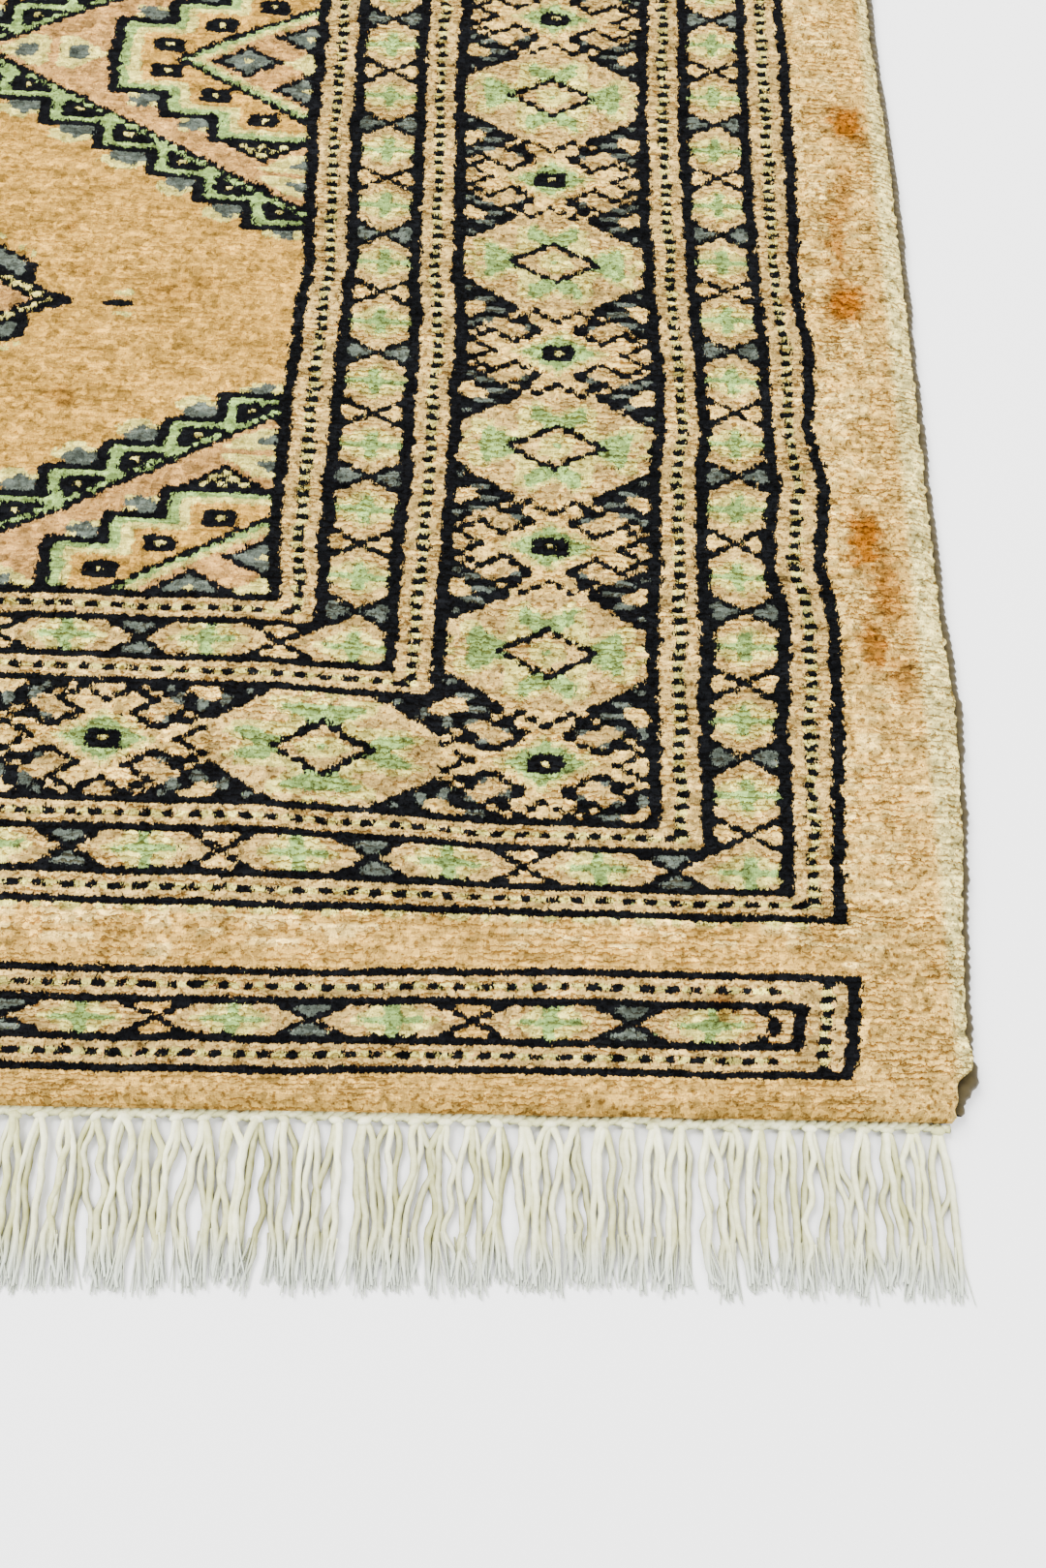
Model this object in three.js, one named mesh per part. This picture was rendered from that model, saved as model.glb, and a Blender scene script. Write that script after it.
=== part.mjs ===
// A hand-knotted wool rug that lies flat: a knotted pile carpet, an overcast cord along each long
// side, and a comb of cotton warp fringe along each short end. Millimetres, +Z up, +Y along the
// length. The origin is at the middle of the underside.

import * as THREE from 'three';

// Driving dimensions.
const INCH = 25.4;
const KNOT_WIDTH = INCH / 9;
const ROW_HEIGHT = INCH / 16;
const KNOTS_ACROSS = 247;
const ROWS_ALONG = 789;
const CARPET_THICKNESS = 8.5;
const CORD_WIDTH = 4.2;
const CORD_HEIGHT = 4.6;
const CORD_END_INSET = 3;
const FRINGE_LENGTH = 34.2;
const FRINGE_THICKNESS = 2.4;
const HEADING_DEPTH = 3.4;
const KNOTS_PER_BUNDLE = 2;
const BUNDLE_WIDTH = 3.4;
const BUNDLE_LEAN = 0.6;
const BUNDLE_SHORTFALL = 1.8;
const CLEARANCE = 0.3;
const SIDE_STEP = 24;
const END_STEP = 10;

const carpetWidth = KNOTS_ACROSS * KNOT_WIDTH;
const carpetLength = ROWS_ALONG * ROW_HEIGHT;
const bundlePitch = KNOTS_PER_BUNDLE * KNOT_WIDTH;

// How far each edge strays outward from the straight line, at distances along it. The corners
// are rounded by the first and last rows.
const RIGHT_EDGE = [
  { along: 0, out: -8.2 },
  { along: 4, out: -5.7 },
  { along: 12, out: -1.9 },
  { along: 34, out: -1.1 },
  { along: 77, out: 1.1 },
  { along: 101, out: 2.1 },
  { along: 128, out: 0.6 },
  { along: 184, out: 0.0 },
  { along: 261, out: -0.5 },
  { along: 318, out: -2.8 },
  { along: 400, out: -1.4 },
  { along: 520, out: 0.9 },
  { along: 640, out: -0.8 },
  { along: 770, out: 1.6 },
  { along: 900, out: -0.4 },
  { along: 1030, out: 1.3 },
  { along: 1150, out: -0.6 },
  { along: 1242, out: -2.0 },
  { along: 1252, out: -6.5 },
];
const LEFT_EDGE = [
  { along: 0, out: -7.0 },
  { along: 5, out: -3.9 },
  { along: 14, out: -1.2 },
  { along: 90, out: 0.7 },
  { along: 210, out: -1.5 },
  { along: 330, out: 1.2 },
  { along: 470, out: 2.1 },
  { along: 610, out: -0.3 },
  { along: 740, out: -1.9 },
  { along: 880, out: 0.8 },
  { along: 1010, out: -0.9 },
  { along: 1150, out: 1.0 },
  { along: 1240, out: -1.6 },
  { along: 1252, out: -7.4 },
];
const NEAR_END = [
  { along: 0, out: 0.2 },
  { along: 110, out: -0.9 },
  { along: 190, out: 0.6 },
  { along: 290, out: 1.1 },
  { along: 410, out: -0.5 },
  { along: 490, out: -1.7 },
  { along: 540, out: 0.1 },
  { along: 590, out: 1.4 },
  { along: 645, out: 0.0 },
  { along: 697, out: -0.4 },
];
const FAR_END = [
  { along: 0, out: -0.3 },
  { along: 120, out: 1.4 },
  { along: 240, out: 0.2 },
  { along: 350, out: -1.2 },
  { along: 460, out: 0.4 },
  { along: 570, out: 1.2 },
  { along: 697, out: -0.6 },
];

// The stray of an edge at a distance along it, eased smoothly between the rows of its table.
function strayAt(edge, along) {
  if (along <= edge[0].along) return edge[0].out;
  for (let i = 1; i < edge.length; i += 1) {
    if (along <= edge[i].along) {
      const before = edge[i - 1];
      const after = edge[i];
      const share = (along - before.along) / (after.along - before.along);
      return before.out + (after.out - before.out) * THREE.MathUtils.smoothstep(share, 0, 1);
    }
  }
  return edge[edge.length - 1].out;
}

// Distances at which an edge is sampled between two ends, with every row of its table kept.
function stations(edge, from, to, step) {
  const steps = Math.ceil((to - from) / step);
  const even = Array.from({ length: steps + 1 }, (_, i) => from + ((to - from) * i) / steps);
  const rows = edge.map((row) => row.along).filter((along) => along > from && along < to);
  const all = [...even, ...rows].sort((a, b) => a - b);
  return all.filter((along, i) => i === 0 || along - all[i - 1] > 1);
}

// A point on a long side: side is 1 on the right and -1 on the left.
function longSidePoint(edge, side, along, outward) {
  const x = side * (carpetWidth / 2 + strayAt(edge, along) + outward);
  return new THREE.Vector2(x, along - carpetLength / 2);
}

// A point on a short end: end is 1 at the far end and -1 at the near end.
function shortEndPoint(edge, end, x, outward) {
  const y = end * (carpetLength / 2 + strayAt(edge, x + carpetWidth / 2) + outward);
  return new THREE.Vector2(x, y);
}

function slab(points, thickness) {
  return new THREE.ExtrudeGeometry(new THREE.Shape(points), {
    depth: thickness,
    bevelEnabled: false,
  });
}

function wool(colour) {
  return new THREE.MeshStandardMaterial({ color: colour, roughness: 0.95, metalness: 0 });
}

function cotton(colour) {
  return new THREE.MeshStandardMaterial({ color: colour, roughness: 0.9, metalness: 0 });
}

// The corner roundings of the long sides meet the short ends at these x positions.
function endSpan(end) {
  const along = end > 0 ? carpetLength : 0;
  return {
    left: -(carpetWidth / 2 + strayAt(LEFT_EDGE, along)),
    right: carpetWidth / 2 + strayAt(RIGHT_EDGE, along),
  };
}

function carpetOutline() {
  const right = stations(RIGHT_EDGE, 0, carpetLength, SIDE_STEP).slice(1, -1);
  const left = stations(LEFT_EDGE, 0, carpetLength, SIDE_STEP).slice(1, -1).reverse();
  const acrossEnd = (edge, end) => {
    const span = endSpan(end);
    return stations(edge, span.left + carpetWidth / 2, span.right + carpetWidth / 2, END_STEP)
      .map((along) => shortEndPoint(edge, end, along - carpetWidth / 2, 0));
  };
  return [
    ...right.map((along) => longSidePoint(RIGHT_EDGE, 1, along, 0)),
    ...acrossEnd(FAR_END, 1).reverse(),
    ...left.map((along) => longSidePoint(LEFT_EDGE, -1, along, 0)),
    ...acrossEnd(NEAR_END, -1),
  ];
}

// The pile carpet: foundation and pile as one flat slab.
function makeCarpet() {
  const carpet = new THREE.Mesh(slab(carpetOutline(), CARPET_THICKNESS), wool(0xd9ad74));
  carpet.name = 'carpet';
  return carpet;
}

// The overcast cord that binds a long side, at the same stations as the edge of the carpet.
function makeSideCord(name, edge, side) {
  const run = stations(edge, 0, carpetLength, SIDE_STEP)
    .filter((along) => along > CORD_END_INSET && along < carpetLength - CORD_END_INSET);
  const inner = run.map((along) => longSidePoint(edge, side, along, CLEARANCE));
  const outer = run.map((along) => longSidePoint(edge, side, along, CLEARANCE + CORD_WIDTH));
  const loop = side > 0 ? [...outer, ...inner.reverse()] : [...inner, ...outer.reverse()];
  const cord = new THREE.Mesh(slab(loop, CORD_HEIGHT), wool(0xa08f6b));
  cord.name = name;
  return cord;
}

// The warp fringe of one end: a knotted heading with one tooth for each bundle of warps.
function makeFringe(name, edge, end) {
  const span = endSpan(end);
  const count = Math.floor((span.right - span.left - BUNDLE_WIDTH) / bundlePitch) + 1;
  const middle = (span.left + span.right) / 2;
  const centres = Array.from(
    { length: count },
    (_, i) => middle + (i - (count - 1) / 2) * bundlePitch,
  );
  const strays = centres.map((x) => strayAt(edge, x + carpetWidth / 2));
  const tipLine = carpetLength / 2 + FRINGE_LENGTH;
  const half = BUNDLE_WIDTH / 2;
  const heading = [];
  const teeth = [];
  centres.forEach((x, i) => {
    const root = carpetLength / 2 + strays[i] + CLEARANCE;
    const lean = BUNDLE_LEAN * Math.sin(1.7 * i);
    const tip = tipLine - BUNDLE_SHORTFALL * (0.5 + 0.5 * Math.sin(2.3 * i));
    heading.push(new THREE.Vector2(x, end * root));
    teeth.push(
      new THREE.Vector2(x - half, end * (root + HEADING_DEPTH)),
      new THREE.Vector2(x - half + lean, end * tip),
      new THREE.Vector2(x + half + lean, end * tip),
      new THREE.Vector2(x + half, end * (root + HEADING_DEPTH)),
    );
  });
  const firstRoot = new THREE.Vector2(centres[0] - half, heading[0].y);
  const lastRoot = new THREE.Vector2(centres[count - 1] + half, heading[count - 1].y);
  const loop = [firstRoot, ...heading.slice(1, -1), lastRoot, ...teeth.reverse()];
  const fringe = new THREE.Mesh(slab(loop, FRINGE_THICKNESS), cotton(0xe9e8d2));
  fringe.name = name;
  return fringe;
}

const rug = new THREE.Group();
rug.add(makeCarpet());
rug.add(makeSideCord('side_cord_right', RIGHT_EDGE, 1));
rug.add(makeSideCord('side_cord_left', LEFT_EDGE, -1));
rug.add(makeFringe('fringe_near', NEAR_END, -1));
rug.add(makeFringe('fringe_far', FAR_END, 1));

export default rug;
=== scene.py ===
"""Looks for a hand-knotted wool pile rug with overcast side cords and a cotton fringe.

The design is charted knot by knot, as a weaver's cartoon, and every knot of the pile is a point of
the mesh. Sizes are in metres, apart from those whose comment says mm. X runs across the rug, Y along
it and Z up out of the pile.
"""

import math

import bpy
import numpy as np
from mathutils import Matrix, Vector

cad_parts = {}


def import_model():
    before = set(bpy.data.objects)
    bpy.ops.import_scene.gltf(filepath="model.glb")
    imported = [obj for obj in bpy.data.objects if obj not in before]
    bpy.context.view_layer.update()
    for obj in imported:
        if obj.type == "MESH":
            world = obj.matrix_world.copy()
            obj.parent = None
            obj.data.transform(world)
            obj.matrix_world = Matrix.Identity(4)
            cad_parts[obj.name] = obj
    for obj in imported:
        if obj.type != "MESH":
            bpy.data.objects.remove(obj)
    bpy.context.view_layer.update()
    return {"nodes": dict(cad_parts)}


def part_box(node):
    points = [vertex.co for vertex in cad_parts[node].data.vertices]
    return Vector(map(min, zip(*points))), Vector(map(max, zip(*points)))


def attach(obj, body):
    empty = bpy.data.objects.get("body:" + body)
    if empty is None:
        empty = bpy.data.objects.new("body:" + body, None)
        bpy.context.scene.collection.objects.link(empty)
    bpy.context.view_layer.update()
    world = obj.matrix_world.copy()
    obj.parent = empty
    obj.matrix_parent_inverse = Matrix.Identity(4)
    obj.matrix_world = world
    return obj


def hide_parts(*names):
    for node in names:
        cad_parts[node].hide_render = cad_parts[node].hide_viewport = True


MM = 0.001
INCH = 0.0254
SEED = 20

# The knot grid: nine knots to the inch across and sixteen rows to the inch along.
KNOT = INCH / 9
ROW = INCH / 16
KNOTS = 247
ROWS = 789
MIDDLE_KNOT = (KNOTS - 1) / 2
MIDDLE_ROW = (ROWS - 1) / 2
HALF_WIDTH = (KNOTS / 2) * KNOT
HALF_LENGTH = (ROWS / 2) * ROW

# Rings of the border, counted in knots or rows inward from the outermost black line.
MARGIN_KNOTS = 10
MARGIN_ROWS = 29
BLACK_RINGS = (0, 4, 10, 14, 32, 36, 42, 46)
DOT_RINGS = (2, 12, 34, 44)
OUTER_MINOR = 7
MAIN = 23
INNER_MINOR = 39
FIELD_RING = 46
MINOR_REACH = 2
MAIN_REACH = 8
MINOR_STEP = 12
MAIN_STEP = 36
# Just outside that line, three knots of every five are ivory, in a broken order.
SPECKLE_FROM = 3
SPECKLE_STRIDE = 7
SPECKLE_CYCLE = 5
SPECKLE_SHARE = 3

# The end strip, counted in rows from the end of the pile and in knots from the outermost line.
STRIP_LINES = (6, 10, 16, 20)
STRIP_DOTS = (8, 18)
STRIP_MIDDLE = 13
STRIP_DOTTED_KNOT = 2
STRIP_INNER_KNOT = 4
STRIP_BRACKET_KNOT = 6
STRIP_FIRST_MEDALLION = 11

# The field lattice: medallions on its sides and in its middle, two across and six along.
LATTICE_KNOTS = 67
LATTICE_ROWS = 106

# The medallion, in knots and rows from its middle: its stair, and the pink band inside the stair.
STEP = 5
STEP_COUNT = 7
OUTLINE_ROW = 36
RISER = 7
BAND_EDGE = 33
TRIANGLE_DOT = 3
BAND_SQUARES = ((9, 16), (14, 11))
# Its diamonds are split by a line of pink. Line by line outward: how far ivory and blue reach.
SPLIT_KNOT = 26
SPLIT_ROW = 25
DIAMOND_ACROSS = ((4, 0), (4, 2), (3, 2), (2, 0), (1, 0))
DIAMOND_ALONG = ((6, 0), (5, 3), (4, 2), (3, 0))
NET_FIRST_ROW = 19
NET_TIP_ROW = 22
NET_KNOT = 5
# The stepped figure inside: the corners of its treads, its boxed dots and lozenges, as knot and row.
TREADS = ((10, 18), (15, 13), (20, 8))
BOXED_DOTS = ((15, 3), (10, 8), (5, 13))
HEART_EDGE = 14
LOZENGES = ((7, 0), (1, 6))
LOZENGE_REACH = 3
EYE_REACH = 2
# The figure in the plain diamond, in knots, and in rows from that diamond's own axis.
FIGURE_KNOT = 23
FIGURE_TIP = 2
LOBE_KNOT = 25
LOBE_EDGE = 5
DASH_KNOT = 16
PALE_DOTS = ((25, 9), (26, 10), (28, 12), (29, 13))

# Yarns, by the letter that the charts use: black, dusty pink, ivory, sage, grey-blue and camel.
YARNS = "KPIGBT"
BLACK, PINK, IVORY, SAGE, BLUE, CAMEL = range(len(YARNS))

# A quarter of the main border, from the middle of a rosette down to the middle of a small motif.
MAIN_CHART = (
    "GIPPKGGIP",
    "IIPKGGGPI",
    "IPKIIGGIP",
    "PKIIPIGIP",
    "KGIIPPIIP",
    "GGGIPPPPK",
    "IGGIPPPKB",
    "PIGIPPKKK",
    "PPIPPKBBK",
    "PPPPKKKTT",
    "TTKTKBBTT",
    "TKTKTKKKT",
    "KTTKKPBBK",
    "TTKBPPPKB",
    "ITKPPPKPK",
    "GITKPKTKP",
    "GGITKTTTK",
    "KKGITTTKP",
    "IKGGITKPP",
)
# A quarter of the minor border, from the middle of a medallion to the middle of a crossing.
# F is the fill beside a crossing, grey-blue and camel in turn.
MINOR_CHART = ("GGG", "GII", "GIP", "IPP", "PPK", "PKF", "KFF")

# Patches charted in the field: knots across, rows down from the first row.
STEP_WEDGE = ("BBBT", "BBBI", "IBII", "TIIT")
TOP_WEDGE = ("IBBI", "IBIT")
BAND_SQUARE = ("BBI", "BBB", "IBI")


def yarn_codes(chart):
    """A chart as an array of yarn numbers, with the fill letter as -1."""
    return np.array([[YARNS.find(letter) for letter in row] for row in chart])


def paint_patch(quarter, first_row, first_knot, chart):
    """Lays a small chart on the field quarter, cut off at its edges."""
    for row, letters in enumerate(chart):
        for knot, letter in enumerate(letters):
            inside = first_knot + knot < quarter.shape[1] and first_row + row < quarter.shape[0]
            if inside:
                quarter[first_row + row, first_knot + knot] = YARNS.index(letter)


def paint_band(quarter):
    """The green and black stair of the medallion, with its triangles, and the pink band inside."""
    rows, knots = np.indices(quarter.shape)
    diagonal = rows + knots
    quarter[diagonal < BAND_EDGE] = PINK
    for step in range(STEP_COUNT):
        first = STEP * step
        last = first + STEP
        line = OUTLINE_ROW - STEP * step
        triangle = (knots > first) & (knots < last) & (diagonal > BAND_EDGE + 1) & (rows < line - 1)
        quarter[triangle] = BLACK
        quarter[line - 1, first:last + 1] = SAGE
        quarter[max(line - RISER, 0):line, last:last + 1] = SAGE
        quarter[line, first + (step > 0):last + 2] = BLACK
        quarter[max(line - STEP, 0):line + 1, last + 1:last + 2] = BLACK
        if line > TRIANGLE_DOT:
            dot = first + TRIANGLE_DOT
            quarter[line - TRIANGLE_DOT, dot:dot + 1] = IVORY
    quarter[diagonal == BAND_EDGE + 1] = SAGE
    quarter[diagonal == BAND_EDGE] = BLACK


def paint_inner_steps(quarter):
    """The stepped figure in the medallion: black, green and ivory lines and boxed dots."""
    rows, knots = np.indices(quarter.shape)
    for step, yarn in enumerate((BLACK, SAGE, IVORY, CAMEL)):
        inside = np.zeros(quarter.shape, bool)
        for edge, top in TREADS:
            inside |= (knots <= edge - step) & (rows <= top - step)
        quarter[inside] = yarn
    for knot, row in BOXED_DOTS:
        quarter[row - 1:row + 2, knot - 1:knot + 2] = BLACK
        quarter[row, knot] = IVORY
    diagonal = rows + knots
    quarter[diagonal < HEART_EDGE] = PINK
    for inward, yarn in enumerate((BLACK, SAGE, IVORY)):
        quarter[diagonal == HEART_EDGE - inward] = yarn
    for knot, row in LOZENGES:
        reach = abs(knots - knot) + abs(rows - row)
        quarter[reach == LOZENGE_REACH] = BLACK
        quarter[reach < LOZENGE_REACH] = BLUE
        quarter[reach == 0] = IVORY
    quarter[abs(knots - 1) + rows <= EYE_REACH] = IVORY


def paint_split_diamond(lines, split, reaches):
    """The two halves of a diamond, back to back on each side of the split line."""
    for outward in (-1, 1):
        for step, (ivory, blue) in enumerate(reaches):
            line = lines[split + outward * (step + 1)]
            line[:ivory] = IVORY
            line[:blue] = BLUE


def paint_band_motifs(quarter):
    """What lies on the pink band: squares, split diamonds and the net under the figure."""
    rows, knots = np.indices(quarter.shape)
    for row, knot in BAND_SQUARES:
        paint_patch(quarter, row, knot, BAND_SQUARE)
    paint_split_diamond(quarter.T, SPLIT_KNOT, DIAMOND_ACROSS)
    paint_split_diamond(quarter, SPLIT_ROW, DIAMOND_ALONG)
    net = (rows >= NET_FIRST_ROW) & (abs(knots - NET_KNOT) <= NET_TIP_ROW - rows)
    quarter[net] = np.where((rows + knots)[net] % 2, BLACK, IVORY)


def paint_camel_diamond(quarter):
    """The small figure in the plain diamond, its grey-blue lobes and the dash beside it."""
    rows, knots = np.indices(quarter.shape)
    off_axis = quarter.shape[0] - 1 - rows
    slant = off_axis - (knots - FIGURE_KNOT)
    figure = knots >= FIGURE_KNOT
    quarter[figure & (slant < 0)] = PINK
    quarter[figure & (abs(slant) == 1)] = BLACK
    quarter[figure & (slant == 0)] = IVORY
    ahead = FIGURE_KNOT - knots
    quarter[(ahead > 0) & (off_axis + ahead <= FIGURE_TIP)] = BLACK
    beyond = knots > LOBE_KNOT
    quarter[beyond & (slant > 1) & (slant < LOBE_EDGE)] = BLUE
    quarter[beyond & (slant == LOBE_EDGE)] = BLACK
    quarter[(knots == LOBE_KNOT) & (slant > 0) & (slant <= LOBE_EDGE)] = BLACK
    dash = knots - DASH_KNOT
    quarter[(dash >= 0) & (dash <= 2) & (off_axis == 0)] = BLACK
    quarter[(dash >= 0) & (dash <= 1) & (off_axis == 2)] = IVORY
    for knot, row in PALE_DOTS:
        quarter[(knots == knot) & (off_axis == row)] = IVORY


def field_quarter():
    """One quarter of a lattice cell: row 0 is the medallion's axis, knot 0 its middle."""
    quarter = np.full((LATTICE_ROWS // 2 + 1, (LATTICE_KNOTS + 1) // 2), CAMEL)
    paint_camel_diamond(quarter)
    for step in range(1, STEP_COUNT):
        paint_patch(quarter, OUTLINE_ROW + 1 - STEP * step, STEP * step + 2, STEP_WEDGE)
    paint_patch(quarter, OUTLINE_ROW + 1, 1, TOP_WEDGE)
    paint_band(quarter)
    paint_inner_steps(quarter)
    paint_band_motifs(quarter)
    return quarter


def minor_yarns(place, reach, blue_first):
    """The yarns of a minor border, at places along it and at distances from its middle."""
    nearest = np.minimum(place % MINOR_STEP, -place % MINOR_STEP)
    codes = yarn_codes(MINOR_CHART)[nearest, reach]
    blue = (place // MINOR_STEP) % 2 == (0 if blue_first else 1)
    return np.where(codes < 0, np.where(blue, BLUE, CAMEL), codes)


def paint_border_run(cartoon, across, along, upright):
    """One direction of the borders. across and along count inward from the outermost lines."""
    main_chart = yarn_codes(MAIN_CHART)
    from_axis = abs(across - MAIN)
    from_main = abs(along - MAIN)
    in_band = from_axis <= MAIN_REACH
    in_corner = from_main <= MAIN_REACH
    run = in_band & (along >= across) & (~in_corner | (from_main >= from_axis))
    phase = abs((along - MAIN) % MAIN_STEP - MAIN_STEP // 2)
    cartoon[run] = main_chart[phase[run], from_axis[run]]
    corner = in_band & in_corner & (from_main >= from_axis)
    cartoon[corner] = main_chart[(MAIN_STEP // 2 - from_main)[corner], from_axis[corner]]
    for ring, blue_first in ((OUTER_MINOR, not upright), (INNER_MINOR, upright)):
        reach = abs(across - ring)
        place = along - ring
        run = (reach <= MINOR_REACH) & (along >= ring - MINOR_REACH) & (abs(place) >= reach)
        cartoon[run] = minor_yarns(place[run], reach[run], blue_first)


def paint_end_strip(cartoon, from_end, across):
    """The narrow closed band woven across each end, outside the borders."""
    strip = (from_end >= STRIP_LINES[0]) & (from_end <= STRIP_LINES[3]) & (across >= 0)
    reach = abs(from_end - STRIP_MIDDLE)
    place = across - STRIP_FIRST_MEDALLION
    dots = np.where(across % 2, IVORY, BLACK)
    cartoon[strip] = PINK
    for row in STRIP_DOTS:
        line = strip & (from_end == row)
        cartoon[line] = dots[line]
    middle = strip & (reach <= MINOR_REACH)
    cartoon[middle] = minor_yarns(place[middle], reach[middle], True)
    closing = strip & (across <= STRIP_INNER_KNOT)
    cartoon[closing] = PINK
    column = closing & (across == STRIP_DOTTED_KNOT)
    cartoon[column] = np.where(from_end % 2, BLACK, IVORY)[column]
    for row in STRIP_LINES:
        inner_line = row in STRIP_LINES[1:3]
        line = strip & (from_end == row)
        cartoon[line & (across >= STRIP_INNER_KNOT) if inner_line else line] = BLACK
    inner = (reach <= MINOR_REACH + 1) & (across == STRIP_INNER_KNOT)
    cartoon[strip & (inner | (across == 0))] = BLACK
    clear = (across > STRIP_INNER_KNOT) & (across < STRIP_BRACKET_KNOT + 2)
    cartoon[strip & (reach <= MINOR_REACH) & clear] = PINK
    bracket = (reach <= 1) & (across == STRIP_BRACKET_KNOT)
    bracket |= (reach == MINOR_REACH) & (across == STRIP_BRACKET_KNOT + 1)
    cartoon[strip & bracket] = BLACK


def border_places():
    """How far each knot lies inward of the outermost lines: at the side, at the end, at the nearer."""
    rows, knots = np.indices((ROWS, KNOTS))
    side = np.minimum(knots, KNOTS - 1 - knots) - MARGIN_KNOTS
    end = np.minimum(rows, ROWS - 1 - rows) - MARGIN_ROWS
    return side, end, np.minimum(side, end)


def weave_cartoon():
    """The whole design as one array of yarn numbers, a row of the array to a row of knots."""
    rows, knots = np.indices((ROWS, KNOTS))
    side, end, ring = border_places()
    cartoon = np.full((ROWS, KNOTS), CAMEL)

    in_knots = side - FIELD_RING
    in_knots = np.minimum(in_knots, LATTICE_KNOTS - in_knots)
    in_rows = (rows - MARGIN_ROWS - FIELD_RING - 1) % LATTICE_ROWS
    in_rows = np.minimum(in_rows, LATTICE_ROWS - in_rows)
    field = ring > FIELD_RING
    cartoon[field] = field_quarter()[in_rows[field], in_knots[field]]

    cartoon[(ring >= 0) & (ring <= FIELD_RING)] = PINK
    paint_border_run(cartoon, side, end, upright=True)
    paint_border_run(cartoon, end, side, upright=False)
    dots = np.where(np.where(side < end, end, side) % 2, BLACK, IVORY)
    for line in DOT_RINGS:
        cartoon[ring == line] = dots[ring == line]
    for line in BLACK_RINGS:
        cartoon[ring == line] = BLACK
    speckle = knots * SPECKLE_STRIDE % SPECKLE_CYCLE < SPECKLE_SHARE
    cartoon[(end == -1) & (side >= SPECKLE_FROM) & speckle] = IVORY
    paint_end_strip(cartoon, end + MARGIN_ROWS, side)
    return cartoon


# How far the woven lines stray sideways in the corner that the photograph shows, in mm, at rows
# along the rug. Each line is named by its knot. Beyond these rows the lines run on gently.
STRAY_ROWS = (0, 20, 29, 45, 60, 76, 88, 100, 112, 124, 140, 155, 170, 185, 205, 240)
STRAYS = {
    236: (-1.6, 1.6, 0.0, 0.9, 2.0, 3.1, 0.7, 3.0, 0.3, 1.2, -1.0, -0.3, 0.0, 0.3, -0.8, 0.0),
    232: (-0.9, 0.9, -1.0, 0.6, 0.2, 2.2, -0.8, 1.3, 0.9, 0.9, -0.7, -0.7, -0.9, -0.6, -0.3, 0.0),
    222: (-0.6, 0.6, -0.6, -2.4, -1.8, -1.6, -0.6, -0.6, 1.4, 0.8, -0.3, -1.5, -1.5, -1.0, 0.0, 0.0),
    200: (-1.0, -0.5, 0.3, -2.2, -2.4, -1.8, -1.4, -0.2, 0.0, 0.6, -0.6, -0.8, -1.0, -1.3, -0.5, 0.0),
    190: (-1.5, -0.5, 0.0, -1.8, -2.6, -1.9, -2.9, -2.8, -3.0, -1.6, 0.3, -1.0, -1.7, -1.4, -1.2, 0.0),
    172: (1.0, 1.5, 0.0, 0.3, 0.0, -1.3, -0.3, 0.0, 2.0, 1.6, -0.8, 1.4, 0.8, 0.0, 0.0, 0.0),
}
# The strays fade out over so many rows beyond the last. The wander of the unmeasured lines dies
# out over so many knots beyond the innermost measured one.
STRAY_FADE_ROWS = 60
STRAY_FADE_KNOTS = 20
# How far the rows lag towards the near end, in mm, in the field and under the side borders.
LAG_ROWS = (0, 6, 10, 16, 20, 29, 36, 43, 65, 76, 92, 129, 160, 182, 200, 240, 320)
LAG_FIELD = (
    2.7, 0.2, 0.3, -1.2, -1.3, -0.4, 0.3, 0.6, 0.8, 0.9, -0.3, -2.3, -3.2, -3.6, -3.2, -2.0, 0.0
)
LAG_BORDER = (
    2.7, 1.2, 0.8, 0.1, 0.2, -0.9, -1.6, -2.1, -2.6, -2.7, -3.0, -3.3, -4.0, -3.4, -2.9, -2.0, 0.0
)
# Lines between which the rows sink from their place in the field to that in the side border.
LAG_FROM_KNOT = 188
LAG_TO_KNOT = 214
# Elsewhere the lines wander and the rows sway, in mm, over these lengths. The rows start to settle
# at a knot towards the photographed corner, and settle again in the last rows of each end.
WANDER = 1.1
WANDER_LENGTHS = (0.11, 0.17, 0.29)
SWAY = 0.9
SWAY_LENGTHS = (0.13, 0.21, 0.33)
SETTLE_FROM_KNOT = 60
SETTLE_KNOTS = 60
SETTLE_ROWS = 6
# Short bends of the woven lines, in mm, and of the rows as a share of that. They are drawn out.
LINE_BEND = 0.42
ROW_BEND = 0.6
LINE_BEND_LENGTHS = (0.017, 0.026, 0.043)
BEND_DRAW = 0.6

# The pile: its height at the middle of the rug, and how it rolls over at the edges.
PILE_TOP = 8.1 * MM
EDGE_ROLL = 9 * MM
END_ROLL = 5 * MM
EDGE_TOP = 5.9 * MM
END_TOP = 4.0 * MM
EDGE_FALL = 2.2
END_FOOT = 1.1 * MM
LIP_FOOT = 4.75 * MM
LIP_DEPTH = 4.2 * MM
LIP_LEAST = 0.7 * MM
END_LIP_DEPTH = 2.5 * MM
LIP_FROM = 0.4
# The shears leave waves, tufts differ in height, dyed black wool wears lower and ivory less.
SHEARING_WAVE = 0.35 * MM
SHEARING_LENGTHS = (0.012, 0.031, 0.057, 0.16)
KNOT_UNEVENNESS = 0.17 * MM
TUFT_FUZZ = 0.1 * MM
EDGE_FUZZ = 0.22 * MM
BLACK_SUNK = 0.35 * MM
IVORY_PROUD = 0.12 * MM
# The shades of the knots: their middle and their spread.
TUFT_SHADE = (0.5, 0.16)
# Each tuft sits a little aside of its place, as a share of a knot, so the lines look toothed.
TOOTH = 0.12
# How much paler light has bleached the wool, from 0 to 1.
PALE_SIDES = 0.4
PALE_ENDS = 0.22
PALE_BORDERS = 0.7
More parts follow.
